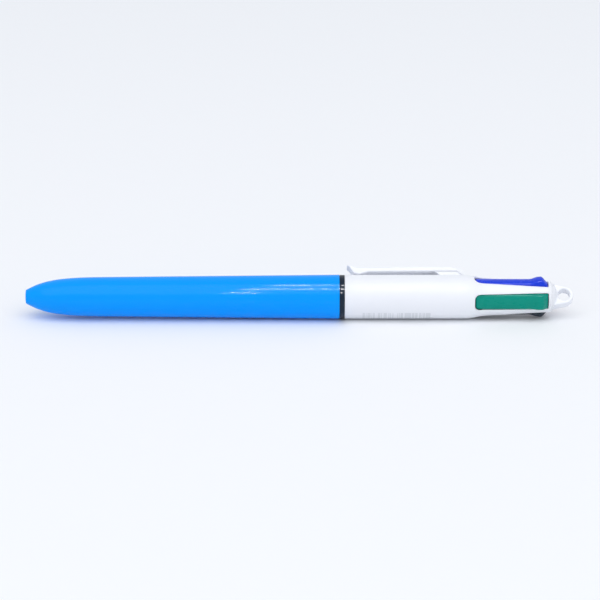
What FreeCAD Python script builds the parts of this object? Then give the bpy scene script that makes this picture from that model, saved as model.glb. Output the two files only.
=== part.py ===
"""Four-colour retractable pen, modelled as its separate pieces in millimetres.

The pen is built along +X with its nose at X = 0 and its axis on Y = Z = 0, and every
piece is moved at the end so that the origin lies below its middle, where it rests.
Each slider is built on top, facing +Z, and then turned about the axis to its slot.
"""
import FreeCAD, Part
import math
import os
from FreeCAD import Vector

# ---------------------------------------------------------------- driving dimensions
X_JOINT = 84.7            # rear end of the lower barrel
RING_LENGTH = 1.4
X_UPPER = X_JOINT + RING_LENGTH
X_SLOT_FRONT = 121.1
X_SLOT_REAR = 141.0
X_UPPER_END = 142.1
X_LOOP = 145.3            # centre of the lanyard hole

LOWER_R = 5.97            # lower barrel, at its rear end
UPPER_R = 5.92
RING_R = 5.9
UPPER_BORE_R = 4.95
NOSE_HOLE_R = 1.3
BARREL_BORE_R = 4.46

# screw joint between the barrels
PITCH = 1.2
MALE_CREST_R = 4.98
MALE_CORE_R = 4.55
FEMALE_CREST_R = 4.72
FEMALE_ROOT_R = 5.12
THREAD_ROOT_WIDTH = 0.62
THREAD_CREST_WIDTH = 0.28
FLANK_CLEARANCE = 0.1     # along the axis, on each flank
X_SLEEVE = 75.0
X_PILOT_END = 77.5
X_THREAD = 78.3
PILOT_R = 4.4
SLEEVE_BORE_R = 3.85
X_GUIDE = 92.0
GUIDE_THICKNESS = 2.0

# refills, held parallel to the axis at rest
REFILL_RADIUS = 2.5       # from the pen's axis to a refill's axis
TUBE_R = 1.2
TUBE_BORE_R = 0.8
X_TIP = 9.0               # front of the writing ball at rest
BALL_R = 0.5
BALL_PLAY = 0.015
POINT_R = 1.05
POINT_LENGTH = 12.0
TUBE_END_GAP = 0.05
INK_ENDS = {"blue": 96.0, "green": 99.0, "black": 88.0, "red": 101.5}

# sliders
X_SPIGOT = 113.0          # front face of a slider's collar at rest
SPIGOT_R = 0.72
SPIGOT_LENGTH = 2.5
COLLAR_R = 1.65
SLOT_WIDTH = 4.4
SLIDER_CLEARANCE = 0.12
CROWN_R = 4.8
BUMP_R = 5.5
X_BUMP_START = 135.8
X_BUMP_PEAK = 138.8

# return springs
SPRING_COIL_R = 1.5
SPRING_WIRE_R = 0.15
SPRING_TURNS = 11

# clip
CLIP_ANGLE = -45.0        # about the axis, from the top slider towards the back
CLIP_UNDER_R = 6.7
CLIP_OUTER_R = 8.05
CLIP_HALF_WIDTH = 2.1
CLIP_TIP_HALF_WIDTH = 1.75
X_CLIP_TIP = 86.8
CLIP_TIP_R = 8.75
X_CLIP_ROOT = 112.2

# lanyard loop and stem
LOOP_R = 2.6
LOOP_HOLE_R = 1.6
LOOP_THICKNESS = 3.0
UPPER_END_R = 3.75
PLUG_R = 3.0
STEM_CORE_R = 0.9
STEM_ARM_R = 3.3
STEM_ARM_THICKNESS = 0.4
X_STEM = 118.0

SLOT_ANGLES = {"blue": 0.0, "green": 90.0, "black": 180.0, "red": 270.0}

ORIGIN = Vector(0, 0, 0)
AXIS = Vector(1, 0, 0)


# ---------------------------------------------------------------- small helpers
def point(x, r, across=0.0):
    """A place in the plane of the top slider: x along the pen, r above the axis."""
    return Vector(x, across, r)


def line(a, b):
    return Part.makeLine(point(*a), point(*b))


def arc(a, middle, b):
    return Part.Arc(point(*a), point(*middle), point(*b)).toShape()


def smooth(points, start=None, end=None):
    """A smooth curve through a few points, with its end directions where they matter."""
    curve = Part.BSplineCurve()
    places = [point(*p) for p in points]
    if start is None:
        curve.interpolate(Points=places)
    else:
        curve.interpolate(Points=places, InitialTangent=point(*start), FinalTangent=point(*end))
    return curve.toShape()


def polyline(points):
    return [line(a, b) for a, b in zip(points, points[1:])]


def revolve(edges):
    face = Part.Face(Part.Wire(edges))
    return face.revolve(ORIGIN, AXIS, 360)


def turned(points):
    """A turned solid from a closed outline of (x, r) points."""
    return revolve(polyline(points + points[:1]))


def rod(x0, x1, r, offset=0.0):
    return Part.makeCylinder(r, x1 - x0, Vector(x0, 0, offset), AXIS)


def slab(edges, half_width):
    """An outline in the slider's plane, thickened both ways across it."""
    face = Part.Face(Part.Wire(edges))
    face.translate(Vector(0, -half_width, 0))
    return face.extrude(Vector(0, 2 * half_width, 0))


def block(x0, x1, half_width, r0, r1):
    return Part.makeBox(x1 - x0, 2 * half_width, r1 - r0, Vector(x0, -half_width, r0))


def turn(shape, degrees):
    copy = shape.copy()
    copy.rotate(ORIGIN, AXIS, degrees)
    return copy


def screw_ridge(x0, x1, shift, root_r, crest_r, root_width, crest_width):
    """A right-hand trapezoidal ridge from x0 to x1, shifted along the axis from the male thread."""
    helix = Part.makeHelix(PITCH, x1 - x0, root_r)
    corners = [
        Vector(root_r, 0, -root_width / 2),
        Vector(crest_r, 0, -crest_width / 2),
        Vector(crest_r, 0, crest_width / 2),
        Vector(root_r, 0, root_width / 2),
    ]
    outline = Part.makePolygon(corners + corners[:1])
    ridge = Part.Wire(helix).makePipeShell([outline], True, True)
    ridge.rotate(ORIGIN, Vector(0, 1, 0), 90)
    ridge.translate(Vector(x0, 0, 0))
    return turn(ridge, 360 * (x0 - X_THREAD - shift) / PITCH)


def thread_width(r):
    """Width of the male ridge at a radius."""
    slope = (THREAD_ROOT_WIDTH - THREAD_CREST_WIDTH) / (MALE_CREST_R - MALE_CORE_R)
    return THREAD_CREST_WIDTH + slope * (MALE_CREST_R - r)


# ---------------------------------------------------------------- barrels
def lower_barrel():
    nose = smooth([(0.25, 1.9), (1.3, 2.7), (2.9, 3.4), (5.2, 4.1), (9.4, 4.88), (20.0, 5.34)],
                  start=(1.0, 2.2), end=(1.0, 0.012))
    outside = [
        line((0.0, NOSE_HOLE_R), (0.0, 1.65)),
        arc((0.0, 1.65), (0.07, 1.82), (0.25, 1.9)),
        nose,
        line((20.0, 5.34), (X_JOINT - 0.15, LOWER_R)),
        line((X_JOINT - 0.15, LOWER_R), (X_JOINT, LOWER_R - 0.12)),
    ]
    inside = polyline([
        (X_JOINT, LOWER_R - 0.12), (X_JOINT, FEMALE_ROOT_R), (78.0, FEMALE_ROOT_R),
        (77.8, BARREL_BORE_R), (20.0, BARREL_BORE_R), (9.4, 3.98), (5.5, 3.3), (2.9, 2.5),
        (0.8, NOSE_HOLE_R), (0.0, NOSE_HOLE_R),
    ])
    shell = revolve(outside + inside)
    buried_r = FEMALE_ROOT_R + 0.1
    gap = PITCH - 2 * FLANK_CLEARANCE
    ridge = screw_ridge(X_THREAD, X_JOINT - 0.5, PITCH / 2, buried_r, FEMALE_CREST_R,
                        gap - thread_width(buried_r), gap - thread_width(FEMALE_CREST_R))
    return shell.fuse(ridge)


def joint_ring():
    inner = MALE_CREST_R + 0.06
    edge = 0.15
    return turned([
        (X_JOINT, inner), (X_JOINT, RING_R - edge), (X_JOINT + edge, RING_R),
        (X_UPPER - edge, RING_R), (X_UPPER, RING_R - edge), (X_UPPER, inner),
    ])


def threaded_sleeve():
    body = turned([
        (X_SLEEVE, SLEEVE_BORE_R), (X_SLEEVE, PILOT_R - 0.2), (X_SLEEVE + 0.2, PILOT_R),
        (X_PILOT_END, PILOT_R), (X_PILOT_END + 0.1, MALE_CORE_R - 0.15),
        (X_THREAD - 0.3, MALE_CORE_R - 0.15), (X_THREAD - 0.1, MALE_CORE_R),
        (X_UPPER, MALE_CORE_R), (X_UPPER, UPPER_BORE_R), (X_GUIDE, UPPER_BORE_R),
        (X_GUIDE, SLEEVE_BORE_R),
    ])
    buried_r = MALE_CORE_R - 0.1
    ridge = screw_ridge(X_THREAD + 0.4, X_JOINT - 0.4, 0.0, buried_r, MALE_CREST_R,
                        thread_width(buried_r), THREAD_CREST_WIDTH)
    return body.fuse(ridge)


def guide_plate():
    plate = rod(X_GUIDE, X_GUIDE + GUIDE_THICKNESS, UPPER_BORE_R)
    hole_r = TUBE_R + 0.15
    inward = 0.35
    hole = rod(X_GUIDE - 1, X_GUIDE + GUIDE_THICKNESS + 1, hole_r, REFILL_RADIUS)
    inner_hole = rod(X_GUIDE - 1, X_GUIDE + GUIDE_THICKNESS + 1, hole_r, REFILL_RADIUS - inward)
    passage = hole.fuse(inner_hole).removeSplitter()
    for angle in SLOT_ANGLES.values():
        plate = plate.cut(turn(passage, angle))
    return plate


def slot_cutter():
    """One slot through the upper barrel's wall, with its two front corners rounded."""
    half = SLOT_WIDTH / 2
    corner = 1.3
    diagonal = corner * (1 - math.sqrt(0.5))
    xf, xr = X_SLOT_FRONT, X_SLOT_REAR
    places = {
        "rear_right": Vector(xr, -half, 0), "rear_left": Vector(xr, half, 0),
        "left": Vector(xf + corner, half, 0), "right": Vector(xf + corner, -half, 0),
        "front_left": Vector(xf, half - corner, 0), "front_right": Vector(xf, corner - half, 0),
    }
    left_mid = Vector(xf + diagonal, half - diagonal, 0)
    right_mid = Vector(xf + diagonal, diagonal - half, 0)
    outline = Part.Wire([
        Part.makeLine(places["rear_right"], places["rear_left"]),
        Part.makeLine(places["rear_left"], places["left"]),
        Part.Arc(places["left"], left_mid, places["front_left"]).toShape(),
        Part.makeLine(places["front_left"], places["front_right"]),
        Part.Arc(places["front_right"], right_mid, places["right"]).toShape(),
        Part.makeLine(places["right"], places["rear_right"]),
    ])
    outline.translate(Vector(0, 0, 2.0))
    return Part.Face(outline).extrude(Vector(0, 0, 6.0))


def clip_boss():
    """The root of the clip, where it grows out of the barrel: a plate on a narrower web."""
    plate = slab([
        line((X_CLIP_ROOT, CLIP_UNDER_R), (X_CLIP_ROOT, CLIP_OUTER_R)),
        line((X_CLIP_ROOT, CLIP_OUTER_R), (115.6, CLIP_OUTER_R)),
        arc((115.6, CLIP_OUTER_R), (118.0, 7.35), (119.5, 5.5)),
        line((119.5, 5.5), (118.0, 5.5)),
        arc((118.0, 5.5), (117.55, 6.35), (116.5, CLIP_UNDER_R)),
        line((116.5, CLIP_UNDER_R), (X_CLIP_ROOT, CLIP_UNDER_R)),
    ], CLIP_HALF_WIDTH)
    web = block(X_CLIP_ROOT, 117.6, CLIP_HALF_WIDTH - 0.5, 5.3, CLIP_UNDER_R + 0.2)
    return turn(plate.fuse(web), CLIP_ANGLE)


def upper_barrel():
    shoulder = smooth([(118.5, UPPER_R), (121.0, 5.57), (124.0, 5.17)],
                      start=(1.0, 0.0), end=(1.0, -0.055))
    shell = revolve([
        line((X_UPPER, UPPER_BORE_R), (X_UPPER, UPPER_R - 0.1)),
        line((X_UPPER, UPPER_R - 0.1), (X_UPPER + 0.1, UPPER_R)),
        line((X_UPPER + 0.1, UPPER_R), (118.5, UPPER_R)),
        shoulder,
        line((124.0, 5.17), (140.2, 4.32)),
        arc((140.2, 4.32), (141.25, 4.14), (X_UPPER_END, UPPER_END_R)),
    ] + polyline([
        (X_UPPER_END, UPPER_END_R), (X_UPPER_END, PLUG_R), (X_SLOT_REAR, PLUG_R),
        (X_SLOT_REAR, 3.6), (X_SLOT_FRONT + 0.4, 3.6), (X_SLOT_FRONT, 4.0),
        (X_SLOT_FRONT - 0.5, UPPER_BORE_R), (X_UPPER, UPPER_BORE_R),
    ]))
    barrel = shell.fuse(clip_boss().cut(rod(X_UPPER, 121.0, UPPER_BORE_R + 0.2)))
    for angle in SLOT_ANGLES.values():
        barrel = barrel.cut(turn(slot_cutter(), angle))
        head_way = block(X_SLOT_FRONT - 1.0, X_SLOT_REAR, SLOT_WIDTH / 2, 2.0, CROWN_R + 0.08)
        barrel = barrel.cut(turn(head_way.common(rod(X_SLOT_FRONT - 1.0, X_SLOT_REAR, 4.9)), angle))
    return barrel


# ---------------------------------------------------------------- clip
def pocket_clip():
    """The spring arm: a flat strap with a contact bump and a flared tip."""
    arm = slab([
        line((X_CLIP_ROOT, 6.05), (X_CLIP_ROOT, CLIP_OUTER_R)),
        line((X_CLIP_ROOT, CLIP_OUTER_R), (91.0, CLIP_OUTER_R)),
        arc((91.0, CLIP_OUTER_R), (88.9, 8.22), (X_CLIP_TIP + 0.1, CLIP_TIP_R)),
        arc((X_CLIP_TIP + 0.1, CLIP_TIP_R), (X_CLIP_TIP - 0.05, 8.62), (X_CLIP_TIP, 8.45)),
        line((X_CLIP_TIP, 8.45), (88.7, 6.45)),
        arc((88.7, 6.45), (89.9, 6.02), (91.2, 6.35)),
        arc((91.2, 6.35), (91.7, 6.6), (92.2, CLIP_UNDER_R)),
        line((92.2, CLIP_UNDER_R), (109.6, CLIP_UNDER_R)),
        arc((109.6, CLIP_UNDER_R), (111.2, 6.5), (X_CLIP_ROOT, 6.05)),
    ], CLIP_HALF_WIDTH)
    corner = 0.8
    tip = CLIP_TIP_HALF_WIDTH
    outline = [
        Vector(X_CLIP_ROOT, -CLIP_HALF_WIDTH, 0), Vector(X_CLIP_ROOT, CLIP_HALF_WIDTH, 0),
        Vector(X_CLIP_TIP + corner, tip, 0), Vector(X_CLIP_TIP - 0.2, tip - corner, 0),
        Vector(X_CLIP_TIP - 0.2, corner - tip, 0), Vector(X_CLIP_TIP + corner, -tip, 0),
    ]
    plan = Part.Face(Part.makePolygon(outline + outline[:1]))
    plan.translate(Vector(0, 0, 5.0))
    return turn(arm.common(plan.extrude(Vector(0, 0, 5.0))), CLIP_ANGLE)


# ---------------------------------------------------------------- end plug
def end_plug():
    dome = revolve([
        line((X_UPPER_END, 0.0), (X_UPPER_END, UPPER_END_R)),
        arc((X_UPPER_END, UPPER_END_R), (142.95, 2.9), (143.4, 1.5)),
        arc((143.4, 1.5), (143.5, 0.75), (143.52, 0.0)),
        line((143.52, 0.0), (X_UPPER_END, 0.0)),
    ])
    boss = rod(X_SLOT_REAR, X_UPPER_END, PLUG_R)
    half = LOOP_THICKNESS / 2
    disc = Part.makeCylinder(LOOP_R, LOOP_THICKNESS, Vector(X_LOOP, -half, 0), Vector(0, 1, 0))
    neck = slab(polyline([
        (X_UPPER_END, -3.3), (X_UPPER_END, 3.3), (X_LOOP - 0.3, LOOP_R - 0.02),
        (X_LOOP - 0.3, 0.02 - LOOP_R), (X_UPPER_END, -3.3),
    ]), half)
    hole = Part.makeCylinder(LOOP_HOLE_R, 12.0, Vector(X_LOOP, -6.0, 0), Vector(0, 1, 0))
    head = turn(dome.fuse(disc).fuse(neck).cut(hole), CLIP_ANGLE)
    stem = rod(X_STEM, X_SLOT_REAR, STEM_CORE_R)
    arm = block(X_STEM, X_SLOT_REAR, STEM_ARM_THICKNESS / 2, -STEM_ARM_R, STEM_ARM_R)
    for angle in (45.0, 135.0):
        stem = stem.fuse(turn(arm, angle))
    return head.fuse(boss).fuse(stem)


# ---------------------------------------------------------------- one colour
def slider():
    half = SLOT_WIDTH / 2 - SLIDER_CLEARANCE
    front, rear = X_SLOT_FRONT + 0.15, X_SLOT_REAR - 0.1
    side = slab([
        line((front, 2.75), (front, CROWN_R - 0.4)),
        arc((front, CROWN_R - 0.4), (front + 0.12, CROWN_R - 0.12), (front + 0.4, CROWN_R)),
        line((front + 0.4, CROWN_R), (X_BUMP_START, CROWN_R)),
        smooth([(X_BUMP_START, CROWN_R), (137.3, 5.12), (X_BUMP_PEAK - 0.3, BUMP_R - 0.02)],
               start=(1.0, 0.0), end=(1.0, 0.2)),
        arc((X_BUMP_PEAK - 0.3, BUMP_R - 0.02), (X_BUMP_PEAK + 0.1, BUMP_R - 0.03),
            (X_BUMP_PEAK + 0.4, BUMP_R - 0.3)),
        line((X_BUMP_PEAK + 0.4, BUMP_R - 0.3), (rear, 3.9)),
        line((rear, 3.9), (rear, 2.75)),
        line((rear, 2.75), (front, 2.75)),
    ], half)
    crown = rod(front - 1, X_BUMP_START, CROWN_R)
    thumb = Part.makeCone(CROWN_R, BUMP_R + 0.12, 3.2, Vector(X_BUMP_START, 0, 0), AXIS)
    back = rod(X_BUMP_START + 3.2, rear + 1, BUMP_R + 0.12)
    head = side.common(crown.fuse(thumb).fuse(back))
    shaft = block(X_SPIGOT + 2.0, front + 0.5, 1.0, 1.5, 4.0)
    spine = block(X_SPIGOT + 2.0, rear - 2.0, 0.6, 1.35, 2.9)
    collar = rod(X_SPIGOT, X_SPIGOT + 2.0, COLLAR_R, REFILL_RADIUS)
    spigot = rod(X_SPIGOT - SPIGOT_LENGTH, X_SPIGOT + 0.5, SPIGOT_R, REFILL_RADIUS)
    return head.fuse(shaft).fuse(spine).fuse(collar).fuse(spigot).removeSplitter()


def refill_tube():
    x0, x1 = X_TIP + POINT_LENGTH, X_SPIGOT - TUBE_END_GAP
    return rod(x0, x1, TUBE_R, REFILL_RADIUS).cut(rod(x0 - 1, x1 + 1, TUBE_BORE_R, REFILL_RADIUS))


def ink(x_end):
    return rod(X_TIP + POINT_LENGTH + 4.0, x_end, TUBE_BORE_R - 0.01, REFILL_RADIUS)


def writing_point():
    """The brass point: a turned body, a cone to the ball's seat and a shank in the tube."""
    seat = X_TIP + BALL_R
    front = seat - 0.18
    shoulder = X_TIP + POINT_LENGTH
    end = shoulder + 4.0
    shank_r = TUBE_BORE_R - 0.01
    throat_r, duct_r = 0.22, 0.5
    x_duct = X_TIP + 4.5
    cavity_r = BALL_R + BALL_PLAY
    lip = (front, math.sqrt(cavity_r ** 2 - (seat - front) ** 2))
    throat = (seat + math.sqrt(cavity_r ** 2 - throat_r ** 2), throat_r)
    body = revolve(polyline([
        throat, (x_duct, throat_r), (x_duct + 0.3, duct_r), (end, duct_r), (end, shank_r),
        (shoulder, shank_r), (shoulder, POINT_R), (X_TIP + 3.4, POINT_R), (front, 0.56), lip,
    ]) + [arc(lip, (seat, cavity_r), throat)])
    body.translate(Vector(0, 0, REFILL_RADIUS))
    return body


def ball():
    return Part.makeSphere(BALL_R, Vector(X_TIP + BALL_R, 0, REFILL_RADIUS))


def spring():
    """A coil between the guide plate and the slider's collar, round the refill."""
    x0 = X_GUIDE + GUIDE_THICKNESS + SPRING_WIRE_R + 0.02
    x1 = X_SPIGOT - SPRING_WIRE_R - 0.02
    helix = Part.makeHelix((x1 - x0) / SPRING_TURNS, x1 - x0, SPRING_COIL_R)
    start = Vector(SPRING_COIL_R, 0, 0)
    circle = Part.Wire(Part.makeCircle(SPRING_WIRE_R, start, Vector(0, 1, 0)))
    coil = Part.Wire(helix).makePipeShell([circle], True, True)
    coil.rotate(ORIGIN, Vector(0, 1, 0), 90)
    coil.translate(Vector(x0, 0, REFILL_RADIUS))
    return coil


# ---------------------------------------------------------------- assembly
def build():
    pieces = {
        "lower_barrel": lower_barrel(),
        "joint_ring": joint_ring(),
        "threaded_sleeve": threaded_sleeve(),
        "guide_plate": guide_plate(),
        "upper_barrel": upper_barrel(),
        "pocket_clip": pocket_clip(),
        "end_plug": end_plug(),
    }
    for colour, angle in SLOT_ANGLES.items():
        pieces["slider_" + colour] = turn(slider(), angle)
        pieces["spring_" + colour] = turn(spring(), angle)
        pieces["refill_tube_" + colour] = turn(refill_tube(), angle)
        pieces["ink_" + colour] = turn(ink(INK_ENDS[colour]), angle)
        pieces["point_" + colour] = turn(writing_point(), angle)
        pieces["ball_" + colour] = turn(ball(), angle)
    return pieces


def frame_shift(pieces):
    """From the building frame to the part's frame: its origin is below the middle."""
    box = Part.makeCompound(list(pieces.values())).optimalBoundingBox(False)
    return Vector(-(box.XMin + box.XMax) / 2, -(box.YMin + box.YMax) / 2, -box.ZMin)


def main():
    pieces = build()
    shift = frame_shift(pieces)
    os.makedirs("parts", exist_ok=True)
    print("frame shift", [round(v, 4) for v in shift])
    for name, shape in pieces.items():
        shape.translate(shift)
        solids = len(shape.Solids)
        print(name, "valid", shape.isValid(), "solids", solids, "volume", round(shape.Volume, 3))
        shape.exportStep("parts/" + name + ".step")


main()
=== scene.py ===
# %% [markdown]
# # A four-colour retractable pen
#
# The pen is a stack of moulded tubes with four coloured thumb sliders in its rear half.
# Its working parts were designed in CAD, and this notebook gives them their finished
# surfaces. The first step loads those parts as a fixed frame. Everything that is made
# here is placed from them, in metres, and moves with them.

# %% Load the frame
import math

import bmesh
import bpy
from mathutils import Matrix, Vector


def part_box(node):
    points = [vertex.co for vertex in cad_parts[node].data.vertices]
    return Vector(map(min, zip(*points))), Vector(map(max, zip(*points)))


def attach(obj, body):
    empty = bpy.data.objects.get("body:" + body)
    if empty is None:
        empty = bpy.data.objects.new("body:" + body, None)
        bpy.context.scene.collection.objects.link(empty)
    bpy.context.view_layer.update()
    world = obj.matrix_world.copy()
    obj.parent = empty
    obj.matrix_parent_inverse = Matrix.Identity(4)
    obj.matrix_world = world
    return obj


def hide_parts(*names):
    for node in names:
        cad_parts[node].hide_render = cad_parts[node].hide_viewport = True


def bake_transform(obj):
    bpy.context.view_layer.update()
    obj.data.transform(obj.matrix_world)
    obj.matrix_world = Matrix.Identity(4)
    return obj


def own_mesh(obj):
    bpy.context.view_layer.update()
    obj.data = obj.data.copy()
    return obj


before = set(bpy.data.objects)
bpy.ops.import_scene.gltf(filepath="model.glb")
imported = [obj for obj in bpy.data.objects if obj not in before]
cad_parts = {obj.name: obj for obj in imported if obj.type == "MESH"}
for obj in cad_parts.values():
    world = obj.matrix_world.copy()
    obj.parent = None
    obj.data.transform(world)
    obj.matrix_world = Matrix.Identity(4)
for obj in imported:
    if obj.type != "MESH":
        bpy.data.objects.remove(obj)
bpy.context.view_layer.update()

# %% [markdown]
# ## Places along the pen
#
# A pen is easiest to describe the way a lathe operator would: how far a point is from the
# nose, how far from the axis, and at what turn. One helper turns such a place into the
# frame's own coordinates, so no later cell has to think about where the origin is.
# Lengths below are in millimetres.

# %% The pen's axis and its four directions
MM = 0.001
barrel_low, barrel_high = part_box("lower_barrel")
NOSE = Vector((barrel_low.x, (barrel_low.y + barrel_high.y) / 2,
               (barrel_low.z + barrel_high.z) / 2))
TURNS = {"blue": 0.0, "green": 90.0, "black": 180.0, "red": 270.0}
CLIP_TURN = -45.0


def mm_from_nose(node, end):
    """Where a CAD piece starts (end 0) or stops (end 1), in millimetres from the nose."""
    return (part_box(node)[end].x - NOSE.x) / MM


def place(x, across, up, turn=0.0):
    """A point x from the nose, up from the axis and across it, turned about the axis."""
    angle = math.radians(turn)
    y = across * math.cos(angle) - up * math.sin(angle)
    z = across * math.sin(angle) + up * math.cos(angle)
    return NOSE + Vector((x, y, z)) * MM


X_RING, X_UPPER = mm_from_nose("joint_ring", 0), mm_from_nose("joint_ring", 1)
X_UPPER_END = mm_from_nose("upper_barrel", 1)
X_SLEEVE = mm_from_nose("threaded_sleeve", 0)
X_GUIDE_BACK = mm_from_nose("guide_plate", 1)
X_COLLAR = mm_from_nose("refill_tube_blue", 1) + 0.05
X_TIP = mm_from_nose("ball_blue", 0)
LOWER_R = (barrel_high.y - barrel_low.y) / 2 / MM
UPPER_R = 5.92
REFILL_OFFSET = 2.5
print("Trim ring from", round(X_RING, 2), "to", round(X_UPPER, 2), "mm; barrel radius", round(LOWER_R, 2))

# %% [markdown]
# ## Turning outlines into meshes
#
# Nearly every piece is either turned about an axis or is a row of cross-sections. Both
# are grids of rings, so one function makes the mesh from its rings, and the others only
# compute them. Corners are rounded in the outline itself: real mouldings have no knife
# edges, and a rounded corner is what catches the light.

# %% Meshes from rings
def new_piece(name, mesh):
    piece = bpy.data.objects.new(name, mesh)
    bpy.context.scene.collection.objects.link(piece)
    return piece


def finish_mesh(name, work, sharp_degrees=40):
    """Closes a bmesh's work: welded, facing outwards, smooth except at real edges."""
    bmesh.ops.remove_doubles(work, verts=work.verts, dist=1e-7)
    bmesh.ops.recalc_face_normals(work, faces=work.faces)
    mesh = bpy.data.meshes.new(name)
    work.to_mesh(mesh)
    work.free()
    mesh.shade_smooth()
    mesh.set_sharp_from_angle(angle=math.radians(sharp_degrees))
    return new_piece(name, mesh)


def join_rings(work, rings, closed_rows=False):
    """Faces between neighbouring rings of points. closed_rows joins the last ring to the first."""
    rows = [[work.verts.new(p) for p in ring] for ring in rings]
    count = len(rows[0])
    pairs = list(zip(rows, rows[1:])) + ([(rows[-1], rows[0])] if closed_rows else [])
    for row, after in pairs:
        for k in range(count):
            n = (k + 1) % count
            work.faces.new((row[k], row[n], after[n], after[k]))
    return rows


def rounded(points, radius, steps=4):
    """An outline with each corner rounded. A point may carry its own radius as a third value."""
    result = []
    count = len(points)
    for k, point in enumerate(points):
        here = Vector(point[:2])
        before, after = Vector(points[k - 1][:2]), Vector(points[(k + 1) % count][:2])
        r = point[2] if len(point) > 2 else radius
        u, v = (before - here), (after - here)
        half_turn = u.angle(v, math.pi) / 2
        if r <= 0 or half_turn > math.radians(88):
            result.append(here)
            continue
        reach = min(r / math.tan(half_turn), 0.49 * u.length, 0.49 * v.length)
        start, stop = here + u.normalized() * reach, here + v.normalized() * reach
        for s in range(steps + 1):
            t = s / steps
            result.append(start * (1 - t) ** 2 + here * 2 * t * (1 - t) + stop * t ** 2)
    return result


def turned(name, outline, segments=128, offset=0.0, turn=0.0, sharp=40):
    """A closed (x, radius) outline turned about the pen's axis, or about a refill's."""
    work = bmesh.new()
    rings = []
    for x, r in outline:
        ring = []
        for k in range(segments):
            a = 2 * math.pi * k / segments
            ring.append(place(x, r * math.cos(a), offset + r * math.sin(a), turn))
        rings.append(ring)
    join_rings(work, rings, closed_rows=True)
    return finish_mesh(name, work, sharp)


def hermite(a, b, slope_a, slope_b, steps):
    """Points on the curve that leaves a and reaches b with the given slopes."""
    (x0, r0), (x1, r1) = a, b
    span = x1 - x0
    points = []
    for s in range(steps + 1):
        t = s / steps
        r = (r0 * (1 + 2 * t) * (1 - t) ** 2 + r1 * t * t * (3 - 2 * t)
             + span * (slope_a * t * (1 - t) ** 2 - slope_b * t * t * (1 - t)))
        points.append((x0 + span * t, r))
    return points

# %% [markdown]
# ## Finishes
#
# Moulded plastic is never one flat colour up close. Its gloss is broken by faint ripples
# from the mould and by fine handling marks, so each finish below has a base colour with a
# slow, slight change of shade, and a noise that drives roughness and bump. The patterns
# read Object coordinates, which are metres, so their scale is real. Numbers that are the
# same all over a surface sit on the shader's own sockets.

# %% Moulded plastic
def srgb(r, g, b):
    """A colour as read on screen, 0 to 255, turned into the linear values of light."""
    def linear(c):
        c /= 255
        return c / 12.92 if c <= 0.04045 else ((c + 0.055) / 1.055) ** 2.4
    return (linear(r), linear(g), linear(b), 1.0)


def link(material, source, target):
    material.node_tree.links.new(source, target)


def plastic(name, colour, roughness, shade=0.06, marks=0.04, bump=0.04, subsurface=0.0,
            specular=0.5):
    """A moulded plastic: its colour drifts by shade, and marks roughen it in fine streaks."""
    material = bpy.data.materials.new(name)
    material.use_nodes = True
    nodes = material.node_tree.nodes
    shader = nodes["Principled BSDF"]
    shader.inputs["Specular IOR Level"].default_value = specular
    if subsurface:
        shader.inputs["Subsurface Weight"].default_value = subsurface
        shader.inputs["Subsurface Scale"].default_value = 0.001
        shader.inputs["Subsurface Radius"].default_value = (1.0, 1.0, 1.0)
    place_node = nodes.new("ShaderNodeTexCoord")
    drift = nodes.new("ShaderNodeTexNoise")
    drift.inputs["Scale"].default_value = 140.0
    drift.inputs["Detail"].default_value = 2.0
    ramp = nodes.new("ShaderNodeMix")
    ramp.data_type = "RGBA"
    light = [min(1.0, c * (1 + shade)) for c in colour[:3]] + [1.0]
    dark = [c * (1 - shade) for c in colour[:3]] + [1.0]
    ramp.inputs["A"].default_value = dark
    ramp.inputs["B"].default_value = light
    stretch = nodes.new("ShaderNodeMapping")
    stretch.inputs["Scale"].default_value = (0.35, 1.0, 1.0)
    fine = nodes.new("ShaderNodeTexNoise")
    fine.inputs["Scale"].default_value = 900.0
    fine.inputs["Detail"].default_value = 4.0
    rough = nodes.new("ShaderNodeMapRange")
    rough.inputs["From Min"].default_value = 0.3
    rough.inputs["From Max"].default_value = 0.75
    rough.inputs["To Min"].default_value = max(0.02, roughness - marks)
    rough.inputs["To Max"].default_value = roughness + marks
    relief = nodes.new("ShaderNodeBump")
    relief.inputs["Strength"].default_value = bump
    relief.inputs["Distance"].default_value = 0.00002
    link(material, place_node.outputs["Object"], drift.inputs["Vector"])
    link(material, place_node.outputs["Object"], stretch.inputs["Vector"])
    link(material, stretch.outputs["Vector"], fine.inputs["Vector"])
    link(material, drift.outputs["Fac"], ramp.inputs["Factor"])
    link(material, ramp.outputs["Result"], shader.inputs["Base Color"])
    link(material, fine.outputs["Fac"], rough.inputs["Value"])
    link(material, rough.outputs["Result"], shader.inputs["Roughness"])
    link(material, fine.outputs["Fac"], relief.inputs["Height"])
    link(material, relief.outputs["Normal"], shader.inputs["Normal"])
    return material


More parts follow.
